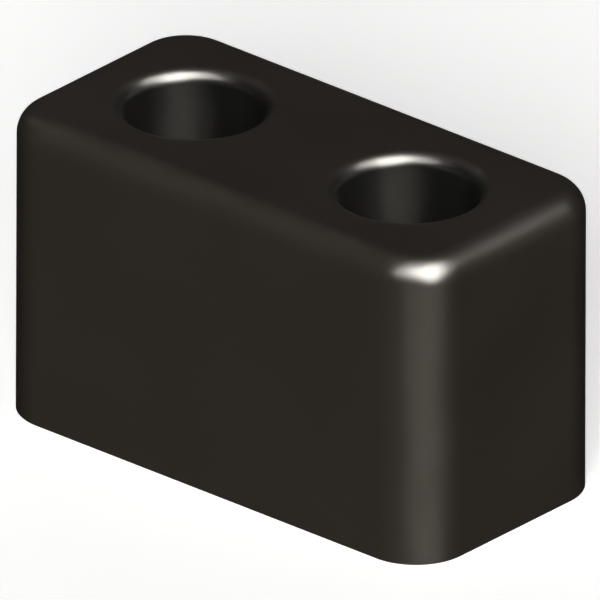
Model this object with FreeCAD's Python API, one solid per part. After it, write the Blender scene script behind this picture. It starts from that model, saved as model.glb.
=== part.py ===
import FreeCAD, Part
import os
from FreeCAD import Vector

# A trailer buffer: one block of moulded rubber that is bolted to the trailer by its flat base.
# The origin is the centre of the base, +X runs along the block and +Z points out to the impact face.
# All sizes are in millimetres.

# Block
block_length = 120.0
block_width = 60.0
block_height = 70.0
corner_radius = 12.5  # the four upright corners
top_edge_radius = 6.0  # the edge round the impact face; the base keeps its sharp edge

# Bolt holes: a wide hole takes the bolt's head, and a narrow one its shank
hole_spacing = 60.0
head_hole_diameter = 30.0
seat_thickness = 25.0  # rubber left under the bolt's head
mouth_radius = 3.0  # the rolled lip where the wide hole opens in the impact face
seat_corner_radius = 2.0  # the soft corner at the foot of the wide hole
shank_hole_diameter = 13.0

# Room that a cutting solid runs past the face it breaks through
overrun = 1.0
# Two places or radii closer than this are taken as the same
same = 0.001


def block_outline():
    """The rounded rectangle of the base, as lines joined by quarter circles."""
    half_x = block_length / 2
    half_y = block_width / 2
    flat_x = half_x - corner_radius
    flat_y = half_y - corner_radius
    middle = corner_radius * 0.5**0.5  # how far an arc's middle lies from its centre, along X and Y

    edges = []
    for sign_x, sign_y in ((1, 1), (-1, 1), (-1, -1), (1, -1)):
        side_end = Vector(sign_x * half_x, sign_y * flat_y, 0)
        arc_middle = Vector(sign_x * (flat_x + middle), sign_y * (flat_y + middle), 0)
        front_end = Vector(sign_x * flat_x, sign_y * half_y, 0)
        edges.append(Part.Arc(side_end, arc_middle, front_end).toShape())
    for sign in (1, -1):
        front = sign * half_y
        side = sign * half_x
        edges.append(Part.LineSegment(Vector(-flat_x, front, 0), Vector(flat_x, front, 0)).toShape())
        edges.append(Part.LineSegment(Vector(side, -flat_y, 0), Vector(side, flat_y, 0)).toShape())
    return Part.Wire(Part.__sortEdges__(edges))


def plain_block():
    """The block before its holes, with its upper edge rounded all the way round."""
    block = Part.Face(block_outline()).extrude(Vector(0, 0, block_height))
    upper_edges = [edge for edge in block.Edges if lies_at_height(edge, block_height)]
    return block.makeFillet(top_edge_radius, upper_edges)


def stepped_hole(centre_x):
    """The space of one bolt hole: the shank's hole through the base, then the head's hole up to the face."""
    shank_radius = shank_hole_diameter / 2
    head_radius = head_hole_diameter / 2
    below = -overrun
    above = block_height + overrun
    half_section = Part.makePolygon(
        [
            Vector(0, 0, below),
            Vector(shank_radius, 0, below),
            Vector(shank_radius, 0, seat_thickness),
            Vector(head_radius, 0, seat_thickness),
            Vector(head_radius, 0, above),
            Vector(0, 0, above),
            Vector(0, 0, below),
        ]
    )
    hole = Part.Face(half_section).revolve(Vector(0, 0, 0), Vector(0, 0, 1), 360)
    hole.translate(Vector(centre_x, 0, 0))
    return hole


def lies_at_height(edge, height):
    """True if the whole edge lies in the level plane at that height."""
    box = edge.BoundBox
    return abs(box.ZMin - height) < same and abs(box.ZMax - height) < same


def head_hole_edges(block, height):
    """The round edges of the head's holes at that height."""
    return [
        edge
        for edge in block.Edges
        if lies_at_height(edge, height)
        and isinstance(edge.Curve, Part.Circle)
        and abs(edge.Curve.Radius - head_hole_diameter / 2) < same
    ]


def buffer_block():
    """The whole buffer, which is moulded in one piece."""
    block = plain_block()
    for side in (-1, 1):
        block = block.cut(stepped_hole(side * hole_spacing / 2))
    block = block.makeFillet(mouth_radius, head_hole_edges(block, block_height))
    block = block.makeFillet(seat_corner_radius, head_hole_edges(block, seat_thickness))
    return block


def main():
    os.makedirs("parts", exist_ok=True)
    block = buffer_block()
    solid = block.Solids[0]
    print("solids", len(block.Solids), "valid", block.isValid(), "volume in cm3", round(solid.Volume / 1000, 2))
    solid.exportStep("parts/buffer_block.step")


main()
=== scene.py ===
import math

import bpy
from mathutils import Matrix, Vector


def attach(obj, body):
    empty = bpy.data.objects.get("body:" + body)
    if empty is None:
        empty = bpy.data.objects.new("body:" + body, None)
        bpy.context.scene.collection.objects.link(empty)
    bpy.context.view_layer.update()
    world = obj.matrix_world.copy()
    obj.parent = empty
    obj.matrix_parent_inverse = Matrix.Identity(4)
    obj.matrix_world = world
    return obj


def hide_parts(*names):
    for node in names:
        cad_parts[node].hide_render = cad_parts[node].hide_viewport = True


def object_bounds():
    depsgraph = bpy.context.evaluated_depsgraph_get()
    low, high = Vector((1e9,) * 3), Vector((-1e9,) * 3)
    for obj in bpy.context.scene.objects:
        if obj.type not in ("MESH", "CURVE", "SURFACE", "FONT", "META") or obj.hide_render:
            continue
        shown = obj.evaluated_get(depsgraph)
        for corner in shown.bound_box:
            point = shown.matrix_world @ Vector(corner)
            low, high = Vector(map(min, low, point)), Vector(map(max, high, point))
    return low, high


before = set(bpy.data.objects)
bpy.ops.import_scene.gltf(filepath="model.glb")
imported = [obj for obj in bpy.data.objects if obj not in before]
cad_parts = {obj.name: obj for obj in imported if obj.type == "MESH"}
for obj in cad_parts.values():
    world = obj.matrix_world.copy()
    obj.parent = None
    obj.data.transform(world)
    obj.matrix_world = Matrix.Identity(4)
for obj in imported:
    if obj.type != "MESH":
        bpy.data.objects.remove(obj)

# A moulded rubber buffer on a pale studio floor. Lengths are in metres and angles in degrees.
# Azimuth 0 looks at the block's long front side (-Y), and azimuth 90 at its right-hand end (+X).
millimetre = 0.001
cadLow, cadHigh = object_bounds()
print("frame loaded, CAD box in mm:", [round(side / millimetre, 2) for side in cadHigh - cadLow])


def addNode(tree, kind, settings=None, links=None):
    # What a link names may be a node (its first output), one of a node's sockets, or a plain value
    node = tree.nodes.new(kind)
    for name, value in (settings or {}).items():
        setattr(node, name, value)
    for name, value in (links or {}).items():
        if isinstance(value, bpy.types.Node):
            value = value.outputs[0]
        if isinstance(value, bpy.types.NodeSocket):
            tree.links.new(value, node.inputs[name])
        else:
            node.inputs[name].default_value = value
    return node


def linearColour(hexColour):
    channels = [int(hexColour[start:start + 2], 16) / 255 for start in (1, 3, 5)]
    linear = [c / 12.92 if c <= 0.04045 else ((c + 0.055) / 1.055) ** 2.4 for c in channels]
    return (*linear, 1.0)


def directionTo(azimuth, elevation):
    # From the block towards what stands at these angles
    turn, rise = math.radians(azimuth), math.radians(elevation)
    return Vector((math.sin(turn) * math.cos(rise), -math.cos(turn) * math.cos(rise), math.sin(rise)))


def newMaterial(name):
    material = bpy.data.materials.new(name)
    material.use_nodes = True
    material.node_tree.nodes.clear()
    return material


blockSizes = {
    "length": cadHigh.x - cadLow.x,
    "width": cadHigh.y - cadLow.y,
    "height": cadHigh.z,
    "cornerRadius": 12.5 * millimetre,
    "topEdgeRadius": 6 * millimetre,
    "holeSpacing": 60 * millimetre,
    "headHoleRadius": 15 * millimetre,  # the wide hole, for the bolt's head
    "mouthRadius": 3 * millimetre,
    "seatHeight": 25 * millimetre,
    "seatCornerRadius": 2 * millimetre,
    "shankHoleRadius": 6.5 * millimetre,
    "flatRim": 1 * millimetre,  # level strip beside each rounding, which keeps the shading of the flats even
    "longestRun": 5 * millimetre,
    "cornerSteps": 24,
    "edgeSteps": 16,
    "roundSteps": 96,
}


# The rubber

rubberLook = {
    "deepColour": "#29241e",
    "paleColour": "#2d2822",
    # painted shade: the near-black colour of the walls inside the holes, darker than the open skin
    "holeShadeColour": "#0c0c0c",
    "holeShadeEnds": 15.3 * millimetre,  # from a hole's axis; the lip's own curve starts at 15 mm
    "skinColourStarts": 17.2 * millimetre,
    "refraction": 1.65,
    "specularLevel": 0.75,
    "holeSpecularLevel": 0.5,
    "holeGlossEnds": 15.02 * millimetre,
    "skinGlossStarts": 15.3 * millimetre,
    "roughness": 0.3,
    "roughnessSpread": 0.02,
    "mottleSize": 28 * millimetre,
    "mottleDetail": 3.0,
    "mottleReach": (0.3, 0.7),  # nearly all of the noise lies between these
    "grainSize": 0.5 * millimetre,
    "grainDetail": 2.0,
    "grainHarshness": 0.6,
    "grainDepth": 0.004 * millimetre,
}


def makeMouldedRubber():
    # Carbon-black filled natural rubber, pressed in a polished steel mould: near-black with a warm cast,
    # and a satin skin that spreads a lamp's reflection into a wide soft glow.
    look = rubberLook
    material = newMaterial("mouldedBlackRubber")
    tree = material.node_tree
    place = addNode(tree, "ShaderNodeTexCoord").outputs["Object"]

    # Broad, faint clouds in the colour and gloss, as the compound flowed. A Mix node's two colours are
    # its sockets 6 and 7.
    mottle = addNode(tree, "ShaderNodeTexNoise", None, {
        "Vector": place, "Scale": 1 / look["mottleSize"], "Detail": look["mottleDetail"]})
    colour = addNode(tree, "ShaderNodeMix", {"data_type": "RGBA"}, {
        "Factor": mottle.outputs["Fac"],
        6: linearColour(look["deepColour"]),
        7: linearColour(look["paleColour"])})
    roughness = addNode(tree, "ShaderNodeMapRange", None, {
        "Value": mottle.outputs["Fac"],
        "From Min": look["mottleReach"][0], "From Max": look["mottleReach"][1],
        "To Min": look["roughness"] - look["roughnessSpread"],
        "To Max": look["roughness"] + look["roughnessSpread"]})

    # Painted shade: the walls inside the holes are painted a darker, neutral black than the open skin's warm
    # black, for the shade that falls in the holes
    across = addNode(tree, "ShaderNodeSeparateXYZ", None, {0: place})
    eitherSide = addNode(tree, "ShaderNodeMath", {"operation": "ABSOLUTE"}, {0: across.outputs["X"]})
    fromHole = addNode(tree, "ShaderNodeMath", {"operation": "SUBTRACT"}, {
        0: eitherSide, 1: blockSizes["holeSpacing"] / 2})
    outward = addNode(tree, "ShaderNodeCombineXYZ", None, {"X": fromHole, "Y": across.outputs["Y"]})
    reach = addNode(tree, "ShaderNodeVectorMath", {"operation": "LENGTH"}, {0: outward}).outputs["Value"]
    unshadedSkin = addNode(tree, "ShaderNodeMapRange", {"interpolation_type": "SMOOTHSTEP"}, {
        "Value": reach, "From Min": look["holeShadeEnds"], "From Max": look["skinColourStarts"]})
    colour = addNode(tree, "ShaderNodeMix", {"data_type": "RGBA"}, {
        "Factor": unshadedSkin,
        6: linearColour(look["holeShadeColour"]),
        7: colour.outputs[2]})

    # The open skin is rubbed to a higher gloss than the straight walls of the holes
    gloss = addNode(tree, "ShaderNodeMapRange", {"interpolation_type": "SMOOTHSTEP"}, {
        "Value": reach, "From Min": look["holeGlossEnds"], "From Max": look["skinGlossStarts"],
        "To Min": look["holeSpecularLevel"], "To Max": look["specularLevel"]})

    # The mould's own fine grain
    grain = addNode(tree, "ShaderNodeTexNoise", None, {
        "Vector": place, "Scale": 1 / look["grainSize"],
        "Detail": look["grainDetail"], "Roughness": look["grainHarshness"]})
    skin = addNode(tree, "ShaderNodeBump", None, {
        "Distance": look["grainDepth"], "Height": grain.outputs["Fac"]})

    shader = addNode(tree, "ShaderNodeBsdfPrincipled", None, {
        "Base Color": colour.outputs[2],
        "Roughness": roughness,
        "IOR": look["refraction"],
        "Specular IOR Level": gloss,
        "Normal": skin})
    addNode(tree, "ShaderNodeOutputMaterial", None, {"Surface": shader})
    return material


rubber = makeMouldedRubber()
print("rubber ready")


# The block

weldDistance = 0.01 * millimetre
crispAngle = 35  # edges that turn by more than this stay sharp, as at the foot of the block


def splitLongRuns(tree, curve, longestRun):
    here = addNode(tree, "GeometryNodeInputPosition")
    nextPoint = addNode(tree, "GeometryNodeOffsetPointInCurve", None, {"Offset": 1})
    there = addNode(tree, "GeometryNodeFieldAtIndex", {"data_type": "FLOAT_VECTOR"}, {
        "Value": here, "Index": nextPoint.outputs["Point Index"]})
    run = addNode(tree, "ShaderNodeVectorMath", {"operation": "DISTANCE"}, {0: here, 1: there})
    cuts = addNode(tree, "ShaderNodeMath", {"operation": "DIVIDE"}, {0: run.outputs["Value"], 1: longestRun})
    return addNode(tree, "GeometryNodeSubdivideCurve", None, {"Curve": curve, "Cuts": cuts})


def profileThrough(tree, corners, sizes):
    # Each corner is how far out it lies, its height, and the radius that rounds it
    line = addNode(tree, "GeometryNodeResampleCurve", None, {
        "Curve": addNode(tree, "GeometryNodeCurvePrimitiveLine"), "Count": len(corners)})
    places = addNode(tree, "GeometryNodeIndexSwitch", {"data_type": "VECTOR"})
    radii = addNode(tree, "GeometryNodeIndexSwitch", {"data_type": "FLOAT"})
    index = addNode(tree, "GeometryNodeInputIndex")
    for switch in (places, radii):
        tree.links.new(index.outputs[0], switch.inputs["Index"])
        while len(switch.index_switch_items) < len(corners):
            switch.index_switch_items.new()
    for number, (out, height, radius) in enumerate(corners):
        place = addNode(tree, "ShaderNodeCombineXYZ", None, {"X": out, "Y": height})
        tree.links.new(place.outputs[0], places.inputs[str(number)])
        if radius:
            tree.links.new(radius, radii.inputs[str(number)])
    bent = addNode(tree, "GeometryNodeSetPosition", None, {"Geometry": line, "Position": places})
    rounded = addNode(tree, "GeometryNodeFilletCurve", {"mode": "POLY"}, {
        "Curve": bent, "Radius": radii, "Count": sizes["edgeSteps"]})
    even = splitLongRuns(tree, rounded, sizes["longestRun"])
    # A sweep lays the profile's Y downwards, so it is turned over first
    return addNode(tree, "GeometryNodeTransform", None, {"Geometry": even, "Scale": (1.0, -1.0, 1.0)})


def makeBlockTree():
    # The walls and the hole linings are swept, and then the two level faces are filled between their rims
    tree = bpy.data.node_groups.new("mouldedBlock", "GeometryNodeTree")
    for name, value in blockSizes.items():
        kind = "NodeSocketInt" if isinstance(value, int) else "NodeSocketFloat"
        tree.interface.new_socket(name, in_out="INPUT", socket_type=kind)
    tree.interface.new_socket("rubber", in_out="INPUT", socket_type="NodeSocketMaterial")
    tree.interface.new_socket("block", in_out="OUTPUT", socket_type="NodeSocketGeometry")
    sizes = addNode(tree, "NodeGroupInput").outputs

    outline = addNode(tree, "GeometryNodeCurvePrimitiveQuadrilateral", None, {
        "Width": sizes["length"], "Height": sizes["width"]})
    outline = addNode(tree, "GeometryNodeFilletCurve", {"mode": "POLY"}, {
        "Curve": outline, "Radius": sizes["cornerRadius"], "Count": sizes["cornerSteps"]})
    outline = splitLongRuns(tree, outline, sizes["longestRun"])
    edgeReach = addNode(tree, "ShaderNodeMath", {"operation": "ADD"}, {
        0: sizes["topEdgeRadius"], 1: sizes["flatRim"]})
    inward = addNode(tree, "ShaderNodeMath", {"operation": "MULTIPLY"}, {0: edgeReach, 1: -1.0})
    wallProfile = profileThrough(tree, [
        (inward, sizes["height"], None),
        (0.0, sizes["height"], sizes["topEdgeRadius"]),
        (0.0, 0.0, None)], sizes)
    walls = addNode(tree, "GeometryNodeCurveToMesh", None, {"Curve": outline, "Profile Curve": wallProfile})

    ring = addNode(tree, "GeometryNodeCurvePrimitiveCircle", None, {
        "Radius": sizes["headHoleRadius"], "Resolution": sizes["roundSteps"]})
    mouthReach = addNode(tree, "ShaderNodeMath", {"operation": "ADD"}, {
        0: sizes["mouthRadius"], 1: sizes["flatRim"]})
    shankReach = addNode(tree, "ShaderNodeMath", {"operation": "SUBTRACT"}, {
        0: sizes["shankHoleRadius"], 1: sizes["headHoleRadius"]})
    holeProfile = profileThrough(tree, [
        (shankReach, 0.0, None),
        (shankReach, sizes["seatHeight"], None),
        (0.0, sizes["seatHeight"], sizes["seatCornerRadius"]),
        (0.0, sizes["height"], sizes["mouthRadius"]),
        (mouthReach, sizes["height"], None)], sizes)
    lining = addNode(tree, "GeometryNodeCurveToMesh", None, {"Curve": ring, "Profile Curve": holeProfile})

    # Two holes, one each side of the middle
    halfBack = addNode(tree, "ShaderNodeMath", {"operation": "MULTIPLY"}, {0: sizes["holeSpacing"], 1: -0.5})
    firstHole = addNode(tree, "ShaderNodeCombineXYZ", None, {"X": halfBack})
    toNextHole = addNode(tree, "ShaderNodeCombineXYZ", None, {"X": sizes["holeSpacing"]})
    holePlaces = addNode(tree, "GeometryNodeMeshLine", {"mode": "OFFSET"}, {
        "Count": 2, "Start Location": firstHole, "Offset": toNextHole})
    linings = addNode(tree, "GeometryNodeInstanceOnPoints", None, {"Points": holePlaces, "Instance": lining})
    linings = addNode(tree, "GeometryNodeRealizeInstances", None, {"Geometry": linings})

    sides = addNode(tree, "GeometryNodeJoinGeometry", None, {"Geometry": walls})
    tree.links.new(linings.outputs[0], sides.inputs[0])
    sides = addNode(tree, "GeometryNodeMergeByDistance", None, {"Geometry": sides, "Distance": weldDistance})

    # An edge with one face is a rim, and its height says which level face it borders
    faceCount = addNode(tree, "GeometryNodeInputMeshEdgeNeighbors")
    isRim = addNode(tree, "FunctionNodeCompare", {"data_type": "INT", "operation": "EQUAL"}, {
        2: faceCount, 3: 1})
    position = addNode(tree, "GeometryNodeInputPosition")
    rise = addNode(tree, "ShaderNodeSeparateXYZ", None, {0: position}).outputs["Z"]
    halfHeight = addNode(tree, "ShaderNodeMath", {"operation": "MULTIPLY"}, {0: sizes["height"], 1: 0.5})
    levels = []
    for side, height in (("GREATER_THAN", sizes["height"]), ("LESS_THAN", 0.0)):
        onSide = addNode(tree, "FunctionNodeCompare", {"data_type": "FLOAT", "operation": side}, {
            0: rise, 1: halfHeight})
        rims = addNode(tree, "FunctionNodeBooleanMath", {"operation": "AND"}, {0: isRim, 1: onSide})
        loops = addNode(tree, "GeometryNodeMeshToCurve", None, {"Mesh": sides, "Selection": rims})
        level = addNode(tree, "GeometryNodeFillCurve", {"mode": "TRIANGLES"}, {"Curve": loops})
        lift = addNode(tree, "ShaderNodeCombineXYZ", None, {"Z": height})
        levels.append(addNode(tree, "GeometryNodeTransform", None, {"Geometry": level, "Translation": lift}))
    impactFace, base = levels
    base = addNode(tree, "GeometryNodeFlipFaces", None, {"Mesh": base})

    block = addNode(tree, "GeometryNodeJoinGeometry", None, {"Geometry": sides})
    tree.links.new(impactFace.outputs[0], block.inputs[0])
    tree.links.new(base.outputs[0], block.inputs[0])
    block = addNode(tree, "GeometryNodeMergeByDistance", None, {"Geometry": block, "Distance": weldDistance})

    bend = addNode(tree, "GeometryNodeInputMeshEdgeAngle")
    isCrisp = addNode(tree, "FunctionNodeCompare", {"data_type": "FLOAT", "operation": "GREATER_THAN"}, {
        0: bend.outputs["Unsigned Angle"], 1: math.radians(crispAngle)})
    block = addNode(tree, "GeometryNodeSetShadeSmooth", {"domain": "FACE"}, {
        "Geometry": block, "Shade Smooth": True})
    block = addNode(tree, "GeometryNodeSetShadeSmooth", {"domain": "EDGE"}, {
        "Geometry": block, "Selection": isCrisp, "Shade Smooth": False})
    block = addNode(tree, "GeometryNodeRealizeInstances", None, {"Geometry": block})
    block = addNode(tree, "GeometryNodeSetMaterial", None, {"Geometry": block, "Material": sizes["rubber"]})
    addNode(tree, "NodeGroupOutput", None, {0: block})
    return tree


def makeBlock():
    tree = makeBlockTree()
    block = bpy.data.objects.new("rubberBlock", bpy.data.meshes.new("rubberBlock"))
    bpy.context.scene.collection.objects.link(block)
    maker = block.modifiers.new("mouldedBlock", "NODES")
    maker.node_group = tree
    inputs = {**blockSizes, "rubber": rubber}
    for item in tree.interface.items_tree:
        if item.in_out == "INPUT":
            maker[item.identifier] = inputs[item.name]
    made = block.evaluated_get(bpy.context.evaluated_depsgraph_get())
    mesh = bpy.data.meshes.new_from_object(made)
    block.modifiers.clear()
    block.data = mesh
    mesh.name = "rubberBlock"
    return block


block = makeBlock()
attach(block, "root")
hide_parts("buffer_block")
print("block ready,", len(block.data.polygons), "faces")


# The studio

floorLook = {
    "colour": "#dcdcda",
    "ownGlow": 0.58,  # seen by the camera alone, so that the paper is pale without more light on the block
    "boardTone": "#fcfcfb",
    "boardDepth": 30 * millimetre,
    "reach": 4.0,  # half of each sheet's side
}


def makeSheet(name, height, material):
    reach = floorLook["reach"]
    mesh = bpy.data.meshes.new(name)
    corners = [(x * reach, y * reach, height) for x, y in ((-1, -1), (1, -1), (1, 1), (-1, 1))]
    mesh.from_pydata(corners, [], [(0, 1, 2, 3)])
    mesh.materials.append(material)
    sheet = bpy.data.objects.new(name, mesh)
    bpy.context.scene.collection.objects.link(sheet)
    sheet.visible_glossy = False  # the rubber's gloss shows the lamps alone, as it does in a dark studio
    return sheet


def makeFloor():
    # Matt white paper
    paper = newMaterial("mattWhitePaper")
    tree = paper.node_tree
    seen = addNode(tree, "ShaderNodeLightPath").outputs["Is Camera Ray"]
    glow = addNode(tree, "ShaderNodeMath", {"operation": "MULTIPLY"}, {0: seen, 1: floorLook["ownGlow"]})
    matt = addNode(tree, "ShaderNodeBsdfDiffuse", None, {"Color": linearColour(floorLook["colour"])})
    pale = addNode(tree, "ShaderNodeEmission", None, {"Strength": glow})
    both = addNode(tree, "ShaderNodeAddShader", None, {0: matt, 1: pale})
    addNode(tree, "ShaderNodeOutputMaterial", None, {"Surface": both})
    makeSheet("floor", 0.0, paper)

    # A board under the paper, which a camera that stands low sees below the floor's edge
    board = newMaterial("paleBoard")
    tree = board.node_tree
    seen = addNode(tree, "ShaderNodeLightPath").outputs["Is Camera Ray"]
    pale = addNode(tree, "ShaderNodeEmission", None, {
        "Color": linearColour(floorLook["boardTone"]), "Strength": seen})
    addNode(tree, "ShaderNodeOutputMaterial", None, {"Surface": pale})
    makeSheet("lowerBoard", -floorLook["boardDepth"], board)


makeFloor()

# Azimuth and elevation say where a lamp stands, angle how wide it looks, and a strength of 1 lights a
# white sheet fully. The plain lamps light the colour. The glow lamps are what the gloss shows: soft boxes
# round the right-hand corner, and the pale floor's return under it. None stands low in line with the
# corner, so that the top isn't all glare when seen from behind.
plainLamps = {
    "frontLight": {"azimuth": 36, "elevation": 25, "angle": 20, "strength": 1.09, "shadow": True},
    "backLight": {"azimuth": 222, "elevation": 3, "angle": 40, "strength": 0.8, "shadow": False},
}
glowLamps = {
    "middleGlow": {"azimuth": 68, "elevation": 45, "angle": 50, "strength": 1.5, "tint": "#fffbf3"},
    "lowGlow": {"azimuth": 72, "elevation": 20, "angle": 34, "strength": 0.57, "tint": "#fffbf3"},
    "floorGlow": {"azimuth": 58, "elevation": -26, "angle": 82, "strength": 0.085, "tint": "#fff4e4"},
    "floorGlowCore": {"azimuth": 60, "elevation": -26, "angle": 40, "strength": 0.033, "tint": "#fff4e4"},
    "highGlow": {"azimuth": 62, "elevation": 72, "angle": 44, "strength": 0.42, "tint": "#fffbf3"},
    "leftGlow": {"azimuth": 22, "elevation": 46, "angle": 46, "strength": 0.6, "tint": "#fffbf3"},
    "rightGlow": {"azimuth": 99, "elevation": 49, "angle": 54, "strength": 0.95, "tint": "#fffbf3"},
    "rearGlow": {"azimuth": 270, "elevation": 35, "angle": 40, "strength": 0.02, "tint": "#fffbf3"},
}
roomLight = 0.005  # the strength of the dim room round the block


def makeLamp(name, lamp):
    data = bpy.data.lights.new(name, "SUN")
    data.energy = lamp["strength"] * math.pi
    data.angle = math.radians(lamp["angle"])
    light = bpy.data.objects.new(name, data)
    bpy.context.scene.collection.objects.link(light)
    towards = directionTo(lamp["azimuth"], lamp["elevation"])
    light.location = towards
    light.rotation_euler = (-towards).to_track_quat("-Z", "Y").to_euler()
    return light


def makeLight():
    for name, lamp in plainLamps.items():
        light = makeLamp(name, lamp)
        light.visible_glossy = False
        light.data.use_shadow = lamp["shadow"]
    for name, lamp in glowLamps.items():
        light = makeLamp(name, lamp)
        light.visible_diffuse = False
        light.data.color = linearColour(lamp["tint"])[:3]
        # Neither shadows nor rays sent out from the rubber cut these lamps off inside the holes
        light.data.use_shadow = False
        light.data.cycles.use_multiple_importance_sampling = False
    world = bpy.data.worlds.new("dimRoom")
    world.use_nodes = True
    world.node_tree.nodes["Background"].inputs["Color"].default_value = (1.0, 1.0, 1.0, 1.0)
    world.node_tree.nodes["Background"].inputs["Strength"].default_value = roomLight
    bpy.context.scene.world = world


makeLight()
print("floor and lamps ready")


# The camera

cameraView = {
    "azimuth": 41.226,
    "elevation": 26.162,
    "roll": 0.178,
    "pixelsPerMetre": 572.146 / 0.120,  # seen square on, the block's 120 mm would span 572 pixels
    "originPixel": (300.497, 444.959),  # where the middle of the base falls, under the block
    "picturePixels": 600,
    "distance": 1.0,
}


def makeCamera():
    # A view without perspective, as the photograph's is
    view = cameraView
    back = directionTo(view["azimuth"], view["elevation"])
    right = Vector((math.cos(math.radians(view["azimuth"])), math.sin(math.radians(view["azimuth"])), 0.0))
    up = back.cross(right)
    roll = math.radians(view["roll"])
    right, up = right * math.cos(roll) + up * math.sin(roll), up * math.cos(roll) - right * math.sin(roll)
    middle = view["picturePixels"] / 2
    originX, originY = view["originPixel"]
    centre = (right * (middle - originX) + up * (originY - middle)) / view["pixelsPerMetre"]
    data = bpy.data.cameras.new("camera")
    data.type = "ORTHO"
    data.ortho_scale = view["picturePixels"] / view["pixelsPerMetre"]
    camera = bpy.data.objects.new("camera", data)
    bpy.context.scene.collection.objects.link(camera)
    turned = Matrix((right, up, back)).transposed().to_4x4()
    camera.matrix_world = Matrix.Translation(centre + back * view["distance"]) @ turned
    bpy.context.scene.camera = camera


makeCamera()
bpy.context.scene.view_settings.view_transform = "Standard"
print("camera ready")
